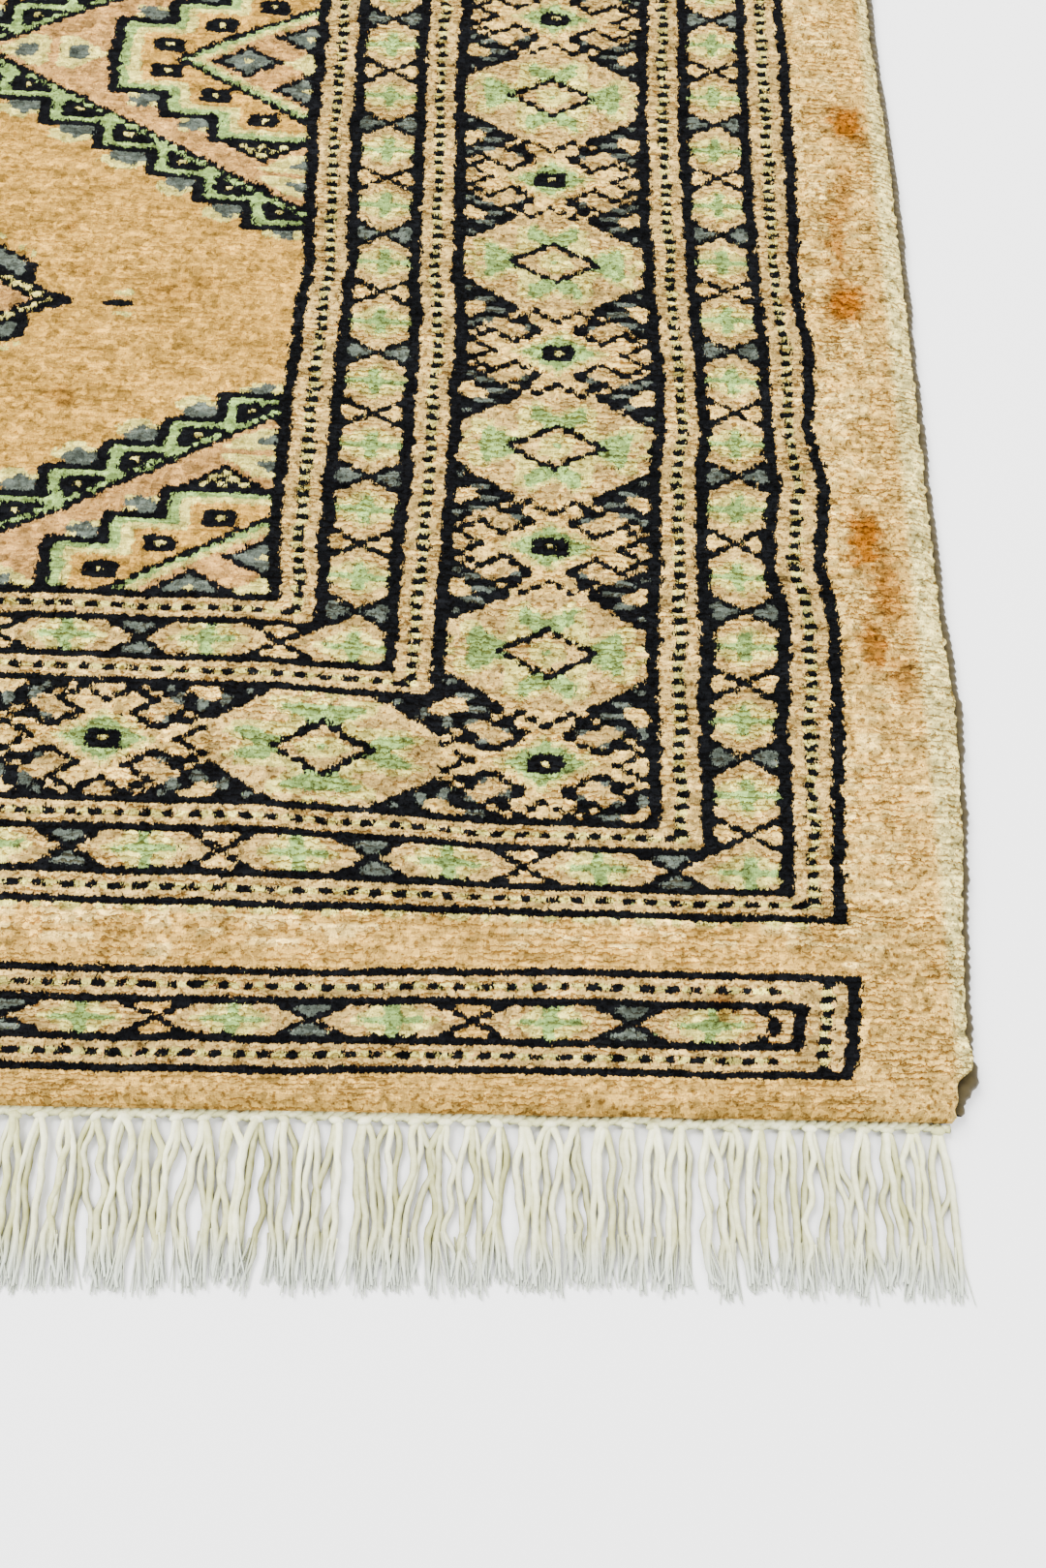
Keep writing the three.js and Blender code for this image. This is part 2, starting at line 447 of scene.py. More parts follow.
# Beside the outermost line some pairs of tufts stand up as pale flakes: painted highlights where the
# combed tips catch the light.
FLAKE_REACH = 8
FLAKE_CHANCE = 0.06
FLAKE_HEIGHT = 0.55 * MM
# The near right corner has pulled out of true, in mm, at places along the side.
CORNER_PLACES = (-640, -626, -623.5, -620.5, -615, -612, -609, -604, -585, -560)
CORNER_PULL = (2.0, 2.0, 0.3, -2.1, -3.6, -0.6, -0.4, -1.4, -0.9, 0.0)

# Columns and rows of the knot grid where the pieces of the pile meet. The fine corner has three
# grid lines to a knot and two to a row, and the rolled edges have lines at these shares of a knot.
FINE_FROM_KNOT = 155
FINE_TO_ROW = 210
PATCH_SPLIT_ROW = 105
COARSE_SPLIT_ROW = 500
ROLL_LINES = (0.25, 0.6, 1.0)


def side_edge(node, side):
    """The X of a CAD node's outermost edge on one side, as a function of Y."""
    points = np.array([vertex.co for vertex in node.data.vertices])
    points = points[points[:, 0] * side > 0]
    stations = np.unique(points[:, 1].round(4))
    reach = [side * (points[abs(points[:, 1] - y) < 2 * MM, 0] * side).max() for y in stations]
    return lambda y: np.interp(y, stations, reach)


def soft_waves(x, y, lengths, seed):
    """Slow seeded undulation between about -1 and 1."""
    rng = np.random.default_rng(seed)
    total = np.zeros(np.broadcast(x, y).shape)
    for length in lengths:
        angle, phase = rng.uniform(0, math.tau, 2)
        total = total + np.sin((x * math.cos(angle) + y * math.sin(angle)) * math.tau / length + phase)
    return total / len(lengths)


def soft_step(share):
    """A share from 0 to 1 that starts and stops gently."""
    return share * share * (3 - 2 * share)


def eased(at, stations, values):
    """Values at stations, joined by soft bends instead of straight lines."""
    stations = np.array(stations, float)
    values = np.array(values, float)
    index = np.clip(np.searchsorted(stations, at, side="right") - 1, 0, len(stations) - 2)
    share = np.clip((at - stations[index]) / (stations[index + 1] - stations[index]), 0, 1)
    share = soft_step(share)
    return values[index] * (1 - share) + values[index + 1] * share


def line_strays(knots, rows):
    """How far the photographed lines stray at points of the knot grid, in mm."""
    lines = sorted(STRAYS)
    strays = np.stack([eased(rows, STRAY_ROWS, STRAYS[line]) for line in lines])
    local = np.zeros_like(strays[0])
    for index in range(len(lines) - 1):
        share = np.clip((knots - lines[index]) / (lines[index + 1] - lines[index]), 0, 1)
        span = (knots >= lines[index]) & (knots <= lines[index + 1])
        blend = strays[index] * (1 - share) + strays[index + 1] * share
        local = np.where(span, blend, local)
    return np.where(knots > lines[-1], strays[-1], local)


def woven_place(knots, rows, edges):
    """Where the points of the knot grid lie in plan, with the weave's waves and the rug's edges."""
    x = (knots - MIDDLE_KNOT) * KNOT
    y = (rows - MIDDLE_ROW) * ROW
    fade = np.clip((rows - STRAY_ROWS[-1]) / STRAY_FADE_ROWS, 0, 1)
    photographed = np.clip((knots - min(STRAYS)) / STRAY_FADE_KNOTS, 0, 1) * (1 - fade)
    wander = soft_waves(x, y, WANDER_LENGTHS, SEED + 1) * WANDER
    bend = soft_waves(x * BEND_DRAW, y, LINE_BEND_LENGTHS, SEED + 4) * LINE_BEND
    stray = line_strays(knots, rows) * (1 - fade) + wander * (1 - photographed) + bend
    sink = soft_step(np.clip((knots - LAG_FROM_KNOT) / (LAG_TO_KNOT - LAG_FROM_KNOT), 0, 1))
    lag = eased(rows, LAG_ROWS, LAG_FIELD) * (1 - sink) + eased(rows, LAG_ROWS, LAG_BORDER) * sink
    settled = np.clip((knots - SETTLE_FROM_KNOT) / SETTLE_KNOTS, 0, 1) * (1 - fade)
    sway = soft_waves(x, y, SWAY_LENGTHS, SEED + 2) * SWAY * (1 - settled)
    sway = sway + soft_waves(x, y * BEND_DRAW, LINE_BEND_LENGTHS, SEED + 5) * LINE_BEND * ROW_BEND
    to_end = np.clip((MIDDLE_ROW + 0.5 - abs(rows - MIDDLE_ROW)) / SETTLE_ROWS, 0, 1)
    y = y + (lag + sway * to_end) * MM
    margin = MARGIN_KNOTS * KNOT
    for side, edge in edges.items():
        share = np.clip((side * x - (HALF_WIDTH - margin)) / margin, 0, 1)
        target = edge(y) - side * HALF_WIDTH
        stray = np.where(side * x > 0, stray * (1 - share) + target / MM * share, stray)
    return x + stray * MM, y


def edge_profile(beyond, roll, top):
    """Height lost towards an edge, for points at a distance beyond it. Inside is negative."""
    inward = np.clip(1 + beyond / roll, 0, 1)
    return (PILE_TOP - top) * inward**EDGE_FALL


def nearest_line(places, count):
    """The number of the nearest of count grid lines."""
    return np.clip(np.rint(places), 0, count - 1).astype(int)


def lines_around(places, count):
    """The grid lines below and above places on the knot grid, and the share of the way between."""
    low = np.clip(np.floor(places), 0, count - 1).astype(int)
    return low, np.minimum(low + 1, count - 1), np.clip(places - low, 0, 1)


def between_knots(table, knots, rows):
    """A table of the knot grid read between knots, row by row."""
    row = nearest_line(rows, ROWS)
    low, high, share = lines_around(knots, KNOTS)
    return table[row, low] * (1 - share) + table[row, high] * share


def pile_points(knots, rows, edges, unevenness, teeth):
    """The pile surface at points of the knot grid."""
    last_knot = KNOTS - 0.5
    last_row = ROWS - 0.5
    inside_knots = np.clip(knots, -0.5, last_knot)
    inside_rows = np.clip(rows, -0.5, last_row)
    x, y = woven_place(inside_knots, inside_rows, edges)
    x = x + between_knots(teeth, inside_knots, inside_rows) * KNOT
    beyond_x = np.maximum(-0.5 - knots, knots - last_knot) * KNOT
    beyond_y = np.maximum(-0.5 - rows, rows - last_row) * ROW
    z = PILE_TOP - edge_profile(beyond_x, EDGE_ROLL, EDGE_TOP)
    z = z - edge_profile(beyond_y, END_ROLL, END_TOP)
    z = z + soft_waves(x, y, SHEARING_LENGTHS, SEED + 3) * SHEARING_WAVE
    z = z + unevenness
    under_x = np.clip(beyond_x / KNOT, 0, 1)
    under_y = np.clip(beyond_y / ROW, 0, 1)
    foot = np.where(under_y > 0, END_FOOT, np.minimum(LIP_FOOT, z - LIP_LEAST))
    under = np.maximum(under_x, under_y)
    z = np.maximum(z * (1 - under) + foot * under, foot)
    x = x - np.sign(x) * np.clip(under_x - LIP_FROM, 0, 1) / (1 - LIP_FROM) * LIP_DEPTH
    y = y - np.sign(y) * np.clip(under_y - LIP_FROM, 0, 1) * END_LIP_DEPTH
    return np.stack([x, y, z], -1)


def grid_faces(height, width):
    """Faces of a grid of points, row by row."""
    first = np.arange(height * width).reshape(height, width)
    corners = (first[:-1, :-1], first[:-1, 1:], first[1:, 1:], first[1:, :-1])
    return np.stack(corners, -1).reshape(-1, 4)


def mesh_piece(name, points, faces, material, smooth=True):
    """A mesh object from arrays of points and faces."""
    mesh = bpy.data.meshes.new(name)
    mesh.from_pydata(points.reshape(-1, 3).tolist(), [], faces.tolist())
    mesh.polygons.foreach_set("use_smooth", [smooth] * len(mesh.polygons))
    mesh.materials.append(material)
    mesh.update()
    piece = bpy.data.objects.new(name, mesh)
    bpy.context.collection.objects.link(piece)
    return piece


def give_attribute(piece, name, values):
    """Stores three numbers per point for the material to read."""
    flat = np.concatenate([values.reshape(-1, 3), np.ones((values.size // 3, 1))], 1)
    layer = piece.data.attributes.new(name, "FLOAT_COLOR", "POINT")
    layer.data.foreach_set("color", flat.astype(np.float32).ravel())


def yarn_masks(column, row, cartoon):
    """How much of each yarn there is at points of the knot grid, softened between knots."""
    low_row, high_row, up = lines_around(row, ROWS)
    low_knot, high_knot, across = lines_around(column, KNOTS)
    up, across = up[..., None], across[..., None]
    one = np.eye(len(YARNS))[cartoon]
    near = one[low_row, low_knot] * (1 - across) + one[low_row, high_knot] * across
    far = one[high_row, low_knot] * (1 - across) + one[high_row, high_knot] * across
    return near * (1 - up) + far * up


def coarse_line(places, last, surface):
    """Points along a coarser neighbour's straight edges. surface gives its points at whole places."""
    lower = np.floor(places)
    share = (places - lower)[:, None]
    return surface(lower) * (1 - share) + surface(np.minimum(lower + 1, last)) * share


def pile_piece(name, knots, rows, design, edges, material, stitched=()):
    """A part of the pile. stitched names the sides whose finer points lie on a coarser grid."""
    cartoon, heights, teeth, paleness = design
    rng = np.random.default_rng(SEED + len(name))
    column, row = np.meshgrid(knots, rows)
    knot_number = nearest_line(column, KNOTS)
    row_number = nearest_line(row, ROWS)
    unevenness = heights[row_number, knot_number]
    if stitched:
        whole = np.isclose(column, knot_number) & np.isclose(row, row_number)
        unevenness = unevenness + np.where(whole, 0, rng.normal(0, TUFT_FUZZ, column.shape))
    points = pile_points(column, row, edges, unevenness, teeth)
    if "left" in stitched:
        left = heights[:, int(knots[0])]
        line = coarse_line(rows, rows[-1], lambda at: pile_points(
            column[:, 0], at, edges, left[at.astype(int).clip(0)], teeth))
        points[:, 0] = np.where((rows >= 0)[:, None], line, points[:, 0])
    if "far" in stitched:
        far = heights[int(rows[-1])]
        line = coarse_line(knots, KNOTS - 1, lambda at: pile_points(
            at, row[-1], edges, far[at.astype(int).clip(0, KNOTS - 1)], teeth))
        points[-1] = np.where((knots <= KNOTS - 1)[:, None], line, points[-1])
    piece = mesh_piece(name, points, grid_faces(*column.shape), material)
    masks = yarn_masks(column, row, cartoon)
    give_attribute(piece, "yarn_warm", masks[..., (BLACK, PINK, IVORY)])
    give_attribute(piece, "yarn_cool", masks[..., (SAGE, BLUE, CAMEL)])
    # The wool reads the shade alone. The tone is drawn before it, so that the order of draws stays.
    tone = rng.normal(*TUFT_SHADE, column.shape)
    shade = rng.normal(*TUFT_SHADE, (ROWS, KNOTS))[row_number, knot_number]
    give_attribute(piece, "tuft", np.stack([tone, shade, 0 * shade], -1).clip(0, 1))
    give_attribute(piece, "weave", np.stack([column, row, paleness[row_number, knot_number]], -1))
    return piece


def edge_stations(low, high, at_low, at_high, inner):
    """Grid lines from low to high, closer together where the pile rolls over an edge."""
    lines = list(inner)
    if at_low:
        lines = [low - part for part in reversed(ROLL_LINES)] + [low] + [v for v in lines if v > low]
    if at_high:
        lines = [v for v in lines if v < high] + [high] + [high + part for part in ROLL_LINES]
    return np.array(lines)


def thirds(first, last):
    """Three grid lines to each knot, ending on whole knots."""
    lines = [knot + part for knot in range(first, last + 1) for part in (-1 / 3, 0, 1 / 3)]
    return np.array(sorted({round(v, 4) for v in lines if first <= v}))


def halves(first, last):
    """Two grid lines to each row, ending on whole rows."""
    lines = [row + part for row in range(first, last + 1) for part in (-0.25, 0.25)]
    return np.array(sorted({v for v in lines if first <= v <= last} | {float(last)}))


def weave_design():
    """The cartoon, and how high each tuft stands, how far aside it sits and how pale it is."""
    cartoon = weave_cartoon()
    rng = np.random.default_rng(SEED)
    heights = rng.normal(0, KNOT_UNEVENNESS, (ROWS, KNOTS))
    heights += np.where(cartoon == BLACK, -BLACK_SUNK, 0) + np.where(cartoon == IVORY, IVORY_PROUD, 0)
    teeth = rng.normal(0, TOOTH, (ROWS, KNOTS))
    teeth[:, (0, KNOTS - 1)] = rng.normal(0, EDGE_FUZZ / KNOT, (ROWS, 2))
    side, _, ring = border_places()
    paleness = np.where(ring > FIELD_RING, 0, PALE_BORDERS)
    paleness = np.where(side < 0, PALE_SIDES, np.where(ring < 0, PALE_ENDS, paleness))
    pairs = np.repeat(rng.random((ROWS, KNOTS // 2 + 1)), 2, axis=1)[:, :KNOTS]
    highlight_flakes = (ring < 0) & (ring > -FLAKE_REACH) & (pairs < (FLAKE_REACH + ring) * FLAKE_CHANCE)
    # The flakes get the palest wool as a painted highlight.
    paleness[highlight_flakes] = 1
    paleness[(ring < 0) & (cartoon == PINK)] = PALE_BORDERS
    heights[highlight_flakes] += FLAKE_HEIGHT
    return cartoon, heights, teeth, paleness


def build_pile(frame, material):
    """The pile in five parts: the photographed corner finely, the rest a point to a knot."""
    carpet = frame["nodes"]["carpet"]
    right, left = side_edge(carpet, 1), side_edge(carpet, -1)
    edges = {
        1: lambda y: right(y) + eased(y / MM, CORNER_PLACES, CORNER_PULL) * MM,
        -1: left,
    }
    last_knot, last_row = KNOTS - 0.5, ROWS - 0.5
    fine_knots = edge_stations(0, last_knot, False, True, thirds(FINE_FROM_KNOT, KNOTS - 1))
    near_rows = edge_stations(-0.5, 0, True, False, halves(0, PATCH_SPLIT_ROW))
    far_rows = halves(PATCH_SPLIT_ROW, FINE_TO_ROW)
    far_rows = np.array(sorted(set(far_rows) | {float(PATCH_SPLIT_ROW)}))
    left_knots = edge_stations(-0.5, 0, True, False, np.arange(0, FINE_FROM_KNOT + 1.0))
    left_rows = edge_stations(-0.5, 0, True, False, np.arange(0, FINE_TO_ROW + 1.0))
    all_knots = edge_stations(-0.5, last_knot, True, True, np.arange(0, KNOTS * 1.0))
    middle_rows = np.arange(FINE_TO_ROW, COARSE_SPLIT_ROW + 1.0)
    end_rows = edge_stations(0, last_row, False, True, np.arange(COARSE_SPLIT_ROW, ROWS * 1.0))
    shared = (weave_design(), edges, material)
    return [
        pile_piece("pile_corner_near", fine_knots, near_rows, *shared, stitched=("left",)),
        pile_piece("pile_corner_far", fine_knots, far_rows, *shared, stitched=("left", "far")),
        pile_piece("pile_near_left", left_knots, left_rows, *shared),
        pile_piece("pile_middle", all_knots, middle_rows, *shared),
        pile_piece("pile_far_end", all_knots, end_rows, *shared),
    ]


def srgb(code):
    """An sRGB hex colour as linear RGBA."""
    parts = [int(code[i:i + 2], 16) / 255 for i in (1, 3, 5)]
    linear = [p / 12.92 if p <= 0.04045 else ((p + 0.055) / 1.055) ** 2.4 for p in parts]
    return (*linear, 1.0)


def add_node(tree, kind, settings=None, out=0, **inputs):
    """Adds a node and gives its output out. inputs are values or sockets, by name or _number."""
    node = tree.nodes.new(kind)
    for name, value in (settings or {}).items():
        setattr(node, name, value)
    for name, value in inputs.items():
        socket = node.inputs[int(name[1:]) if name[0] == "_" else name.replace("_", " ")]
        if isinstance(value, bpy.types.NodeSocket):
            tree.links.new(value, socket)
        else:
            socket.default_value = value
    return node.outputs[out]


def new_material(name):
    """An empty material, its tree, its principled shader and the place on the piece."""
    material = bpy.data.materials.new(name)
    material.use_nodes = True
    tree = material.node_tree
    place = add_node(tree, "ShaderNodeTexCoord", out="Object")
    return material, tree, tree.nodes["Principled BSDF"], place


def set_surface(tree, shader, colour, relief, strength, depth, **values):
    """Gives a shader its colour, its relief and its constant values, named as its sockets."""
    bump = add_node(tree, BUMP, Strength=strength, Distance=depth, Height=relief)
    tree.links.new(colour, shader.inputs["Base Color"])
    tree.links.new(bump, shader.inputs["Normal"])
    for name, value in values.items():
        shader.inputs[name.replace("_", " ")].default_value = value


# Kinds of shader node that are used often, and their settings.
MATH = "ShaderNodeMath"
VECTOR = "ShaderNodeVectorMath"
RANGE = "ShaderNodeMapRange"
MIX = "ShaderNodeMix"
NOISE = "ShaderNodeTexNoise"
CELLS = "ShaderNodeTexVoronoi"
MAPPING = "ShaderNodeMapping"
SPLIT = "ShaderNodeSeparateColor"
ATTRIBUTE = "ShaderNodeAttribute"
BUMP = "ShaderNodeBump"
SOFT = {"interpolation_type": "SMOOTHSTEP"}
BLEND = {"data_type": "RGBA"}
TINT = {"data_type": "RGBA", "blend_type": "MULTIPLY"}
SCALED_SUM = {"operation": "MULTIPLY_ADD"}
PRODUCT = {"operation": "MULTIPLY"}
LARGER = {"operation": "MAXIMUM"}
DIFFERENCE = {"operation": "SUBTRACT"}
WITHOUT_SIGN = {"operation": "ABSOLUTE"}

# Marks of wear that the photograph shows, in mm: where on the rug, how wide, how long, how strong.
RUST_MARKS = (
    (335.4, -350.3, 7.0, 10.0, 1.0),
    (333.6, -373.5, 3.5, 13.0, 0.6),
    (331.6, -411.5, 7.5, 10.0, 1.0),
    (330.4, -392.0, 3.6, 15.0, 0.8),
    (331.4, -484.3, 6.5, 13.0, 1.0),
    (335.6, -497.0, 5.0, 13.0, 0.8),
    (331.4, -512.3, 5.0, 10.0, 0.9),
    (337.5, -520.0, 5.0, 7.0, 0.6),
)
BROWN_MARKS = (
    (130.4, -451.3, 4.5, 4.5, 0.55),
    (127.4, -399.3, 3.0, 3.0, 0.5),
    (155.4, -419.3, 9.0, 6.0, 0.35),
    (163.4, -415.3, 6.0, 4.0, 0.3),
    (133.4, -413.3, 5.0, 5.0, 0.3),
    (316.4, -411.3, 2.2, 2.2, 0.8),
    (291.4, -600.3, 4.0, 4.5, 0.85),
)
# How far the outline of a mark wanders, and the size of its bays.
MARK_WANDER = 13 * MM
MARK_BAYS = 4.348 * MM
# The yarns as dyed. Camel and pink have bleached to paler ones in the borders and at the sides.
YARN_COLOURS = {
    BLACK: "#0C0D0F",
    PINK: "#AF8448",
    IVORY: "#CDC165",
    SAGE: "#829E55",
    BLUE: "#4F574E",
    CAMEL: "#B4893A",
}
BLEACHED = {CAMEL: "#E1BE6C", PINK: "#BCA15D"}
GREYED_WOOL = "#DFD083"
# Painted shadow under and between the tufts, also used as painted shade on the tufts' flanks at the
# ends.
PAINTED_TUFT_SHADOW = "#86693C"
RUST = "#AE8330"
BROWN_DIRT = "#8A6A48"
# Wool greyed by light at the sides, and the painted shade on the tufts' flanks at the ends: from and
# to, out from the middle of the rug.
GREYED_SIDES = (341.8 * MM, 345.0 * MM)
FLANKS_AT_ENDS = (622.5 * MM, 626.3 * MM)
# Grains of the wool, as their sizes across and along the rug. The fibres are drawn some ten times
# as thick as real ones, because finer ones wouldn't show.
FIBRES = (0.3 * MM, 1.3 * MM)
RAGGED_TIPS = (0.45 * MM, 1.3 * MM)
PITS = (1.3 * MM, 1.1 * MM)
DRIFT = (2.6 * MM, 2.0 * MM)
CLUMPS = (5 * MM, 3.2 * MM)
STREAKS = (9 * MM, 1.3 * MM)
COMBED_PATCHES = (14 * MM, 8 * MM)
CLOUDS = (42 * MM, 20 * MM)
# How far black wool spreads over its neighbours, how raggedly the tufts of two colours meet, and
# how soft their meeting is.
BLACK_SPREAD = 0.12
TUFT_SWING = 0.2
FIBRE_SWING = 1.3
MEETING = 0.06
WOOL_RELIEF = 0.6 * MM


def mark_mask(tree, place, marks):
    """How strongly ragged marks cover a point, from 0 to 1."""
    wander = add_node(
        tree, NOISE, out="Color", Vector=place, Scale=1 / MARK_BAYS, Detail=5.0, Roughness=0.7
    )
    wander = add_node(
        tree, VECTOR, SCALED_SUM, _0=wander, _1=(MARK_WANDER, MARK_WANDER, 0.0),
        _2=(-MARK_WANDER / 2, -MARK_WANDER / 2, 0.0),
    )
    shaken = add_node(tree, VECTOR, {"operation": "ADD"}, _0=place, _1=wander)
    total = None
    for x, y, wide, long, strength in marks:
        local = add_node(
            tree, MAPPING, {"vector_type": "TEXTURE"}, _0=shaken,
            Location=(x * MM, y * MM, 0.0), Scale=(wide * MM, long * MM, 1.0),
        )
        reach = add_node(tree, VECTOR, {"operation": "LENGTH"}, "Value", _0=local)
        cover = add_node(tree, RANGE, SOFT, _0=reach, _1=0.35, _2=1.1, _3=strength, _4=0.0)
        total = add_node(tree, MATH, LARGER, _0=total, _1=cover) if total else cover
    return total


def grain(tree, place, size, detail=2.0, roughness=0.6, offset=0.0):
    """Noise whose grains have the size across and along that is given."""
    across, along = size
    scaled = add_node(
        tree, MAPPING, _0=place, Location=(offset, offset * 0.37, 0.0),
        Scale=(1 / across, 1 / along, 0.0),
    )
    return add_node(tree, NOISE, Vector=scaled, Scale=1.0, Detail=detail, Roughness=roughness)


def yarn_colour(tree, place, read, tone):
    """The yarn that shows at a point: the strongest of six, so the colours meet raggedly."""
    tints = {number: srgb(code) for number, code in YARN_COLOURS.items()}
    for number, code in BLEACHED.items():
        tints[number] = add_node(
            tree, MIX, BLEND, 2, _0=read["weave"][2], _6=tints[number], _7=srgb(code)
        )
    masks = (*read["yarn_warm"][:3], *read["yarn_cool"][:3])
    colour = None
    best = None
    for number, mask in enumerate(masks):
        ragged = grain(tree, place, RAGGED_TIPS, offset=3.7 * number)
        lift = BLACK_SPREAD if number == BLACK else 0.0
        swing = TUFT_SWING if number < 3 else -TUFT_SWING
        moved = add_node(tree, RANGE, _0=tone[number % 3], _3=lift - swing, _4=lift + swing)
        strength = add_node(tree, MATH, SCALED_SUM, _0=ragged, _1=FIBRE_SWING, _2=mask)
        strength = add_node(tree, MATH, _0=strength, _1=moved)
        if colour is None:
            colour, best = tints[number], strength
            continue
        lead = add_node(tree, MATH, DIFFERENCE, _0=strength, _1=best)
        wins = add_node(tree, RANGE, _0=lead, _1=-MEETING, _2=MEETING)
        colour = add_node(tree, MIX, BLEND, 2, _0=wins, _6=colour, _7=tints[number])
        best = add_node(tree, MATH, LARGER, _0=best, _1=strength)
    return colour


def knotted_wool():
    """Hand-knotted wool pile, sheared: soft and matt, each knot two cut ends leaning nearward."""
    material, tree, shader, place = new_material("knotted_wool_pile")
    read = {}
    for name in ("yarn_warm", "yarn_cool", "tuft", "weave"):
        stored = add_node(tree, ATTRIBUTE, {"attribute_name": name}, "Color")
        read[name] = add_node(tree, SPLIT, _0=stored).node.outputs

    # Cut ends of yarn, two to a knot and a row long: the eye sees small scales, not a printed cloth.
    drift = grain(tree, place, DRIFT)
    end_x = add_node(tree, MATH, SCALED_SUM, _0=read["weave"][0], _1=2.0, _2=drift)
    end_y = add_node(tree, MATH, SCALED_SUM, _0=drift, _1=1.2, _2=read["weave"][1])
    ends = add_node(
        tree, CELLS, {"feature": "F1"}, "Color", Scale=1.0, Randomness=0.9,
        Vector=add_node(tree, "ShaderNodeCombineXYZ", _0=end_x, _1=end_y),
    )
    tone = add_node(tree, SPLIT, _0=ends).node.outputs
    fibres = grain(tree, place, FIBRES, detail=3.0)
    colour = yarn_colour(tree, place, read, tone)

    # Light and handling have greyed the wool at the sides to a dull cream.
    x, y, _ = add_node(tree, "ShaderNodeSeparateXYZ", _0=place).node.outputs
    out_x = add_node(tree, MATH, WITHOUT_SIGN, _0=x)
    out_x = add_node(tree, MATH, SCALED_SUM, _0=fibres, _1=2 * MM, _2=out_x)
    inner, outer = GREYED_SIDES
    greyed = add_node(tree, RANGE, SOFT, _0=out_x, _1=inner, _2=outer, _3=0.0, _4=0.9)
    colour = add_node(tree, MIX, BLEND, 2, _0=greyed, _6=colour, _7=srgb(GREYED_WOOL))

    # The dye took a little differently from knot to knot, and the wool was spun in batches; the last
    # line is no dye but a painted highlight on the near end of each tuft. Each line is what varies,
    # the range it is read over, and how dark and how bright it makes the wool.
    over = add_node(tree, MATH, SCALED_SUM, _0=tone[2], _1=0.45, _2=end_y)
    over = add_node(tree, MATH, SCALED_SUM, _0=fibres, _1=0.6, _2=over)
    along_tuft = add_node(tree, MATH, {"operation": "FRACT"}, _0=over)
    lightness = None
    for value, low, high, dark, bright in (
        (fibres, 0.25, 0.75, 0.62, 1.24),
        (tone[1], 0.0, 1.0, 0.62, 1.42),
        (read["tuft"][1], 0.0, 1.0, 0.5, 1.54),
        (grain(tree, place, STREAKS, detail=3.0), 0.3, 0.7, 0.7, 1.2),
        (grain(tree, place, CLUMPS, offset=11.3), 0.3, 0.7, 0.74, 1.26),
        (grain(tree, place, CLOUDS, detail=3.0), 0.3, 0.7, 0.76, 1.22),
        # painted highlight where the near ends of the tufts catch the light
        (along_tuft, 0.35, 0.0, 1.0, 1.25),
    ):
        part = add_node(tree, RANGE, _0=value, _1=low, _2=high, _3=dark, _4=bright)
        lightness = add_node(tree, MATH, PRODUCT, _0=lightness, _1=part) if lightness else part
    grey = add_node(tree, "ShaderNodeCombineColor", _0=lightness, _1=lightness, _2=lightness)
    colour = add_node(tree, MIX, TINT, 2, _0=1.0, _6=colour, _7=grey)

    # Painted shadow: each tuft laps over the row before it and shades its far part, more plainly in
    # some places than in others.
    lap_shadow = add_node(tree, RANGE, SOFT, _0=along_tuft, _1=0.52, _2=0.97)
    combed = grain(tree, place, COMBED_PATCHES)
    combed = add_node(tree, RANGE, SOFT, _0=combed, _1=0.4, _2=0.58, _3=0.35, _4=1.0)
    shade = add_node(tree, MATH, PRODUCT, _0=lap_shadow, _1=combed)
    # The pits between the tufts are painted darker, as painted shade.
    pit_shade = grain(tree, place, PITS)
    pit_shade = add_node(tree, RANGE, SOFT, _0=pit_shade, _1=0.48, _2=0.33, _3=0.0, _4=0.85)
    shade = add_node(tree, MATH, LARGER, _0=shade, _1=pit_shade)
    # The painted shade is weaker in the field than in the paler borders and sides.
    shade_strength = add_node(tree, RANGE, _0=read["weave"][2], _1=0.0, _2=0.3, _3=0.62, _4=1.0)
    shade = add_node(tree, MATH, PRODUCT, _0=shade, _1=shade_strength)
    colour = add_node(tree, MIX, TINT, 2, _0=shade, _6=colour, _7=srgb(PAINTED_TUFT_SHADOW))

    # The two ends show the flanks of the last tufts, darkened with painted shade, and there are marks
    # of rust and dirt.
    inner, outer = FLANKS_AT_ENDS
    flank_shade = add_node(tree, MATH, WITHOUT_SIGN, _0=y)
    flank_shade = add_node(tree, RANGE, SOFT, _0=flank_shade, _1=inner, _2=outer, _3=0.0, _4=0.6)
    rust = mark_mask(tree, place, RUST_MARKS)
    brown = mark_mask(tree, place, BROWN_MARKS)
    for share, tint in ((flank_shade, PAINTED_TUFT_SHADOW), (rust, RUST), (brown, BROWN_DIRT)):
        colour = add_node(tree, MIX, TINT, 2, _0=share, _6=colour, _7=srgb(tint))
    relief = add_node(tree, MATH, SCALED_SUM, _0=shade, _1=-0.9, _2=fibres)
    set_surface(
        tree, shader, colour, relief, 0.9, WOOL_RELIEF, Roughness=0.95, Specular_IOR_Level=0.03
    )
    return material


# The cotton: its darker and lighter plies, its frayed ends, and the painted shade low between the
# strands.
COTTON_SHADE = "#C9C88E"
COTTON_LIGHT = "#FBFBD4"
FRAYED_COTTON = "#E2EBE6"
PAINTED_LOW_SHADE = "#75724A"
LOW_SHADE_HEIGHTS = (0.6 * MM, 2.5 * MM)
COTTON_SLUBS = 3.846 * MM
COTTON_PLIES = 0.3846 * MM
COTTON_RELIEF = 0.25 * MM


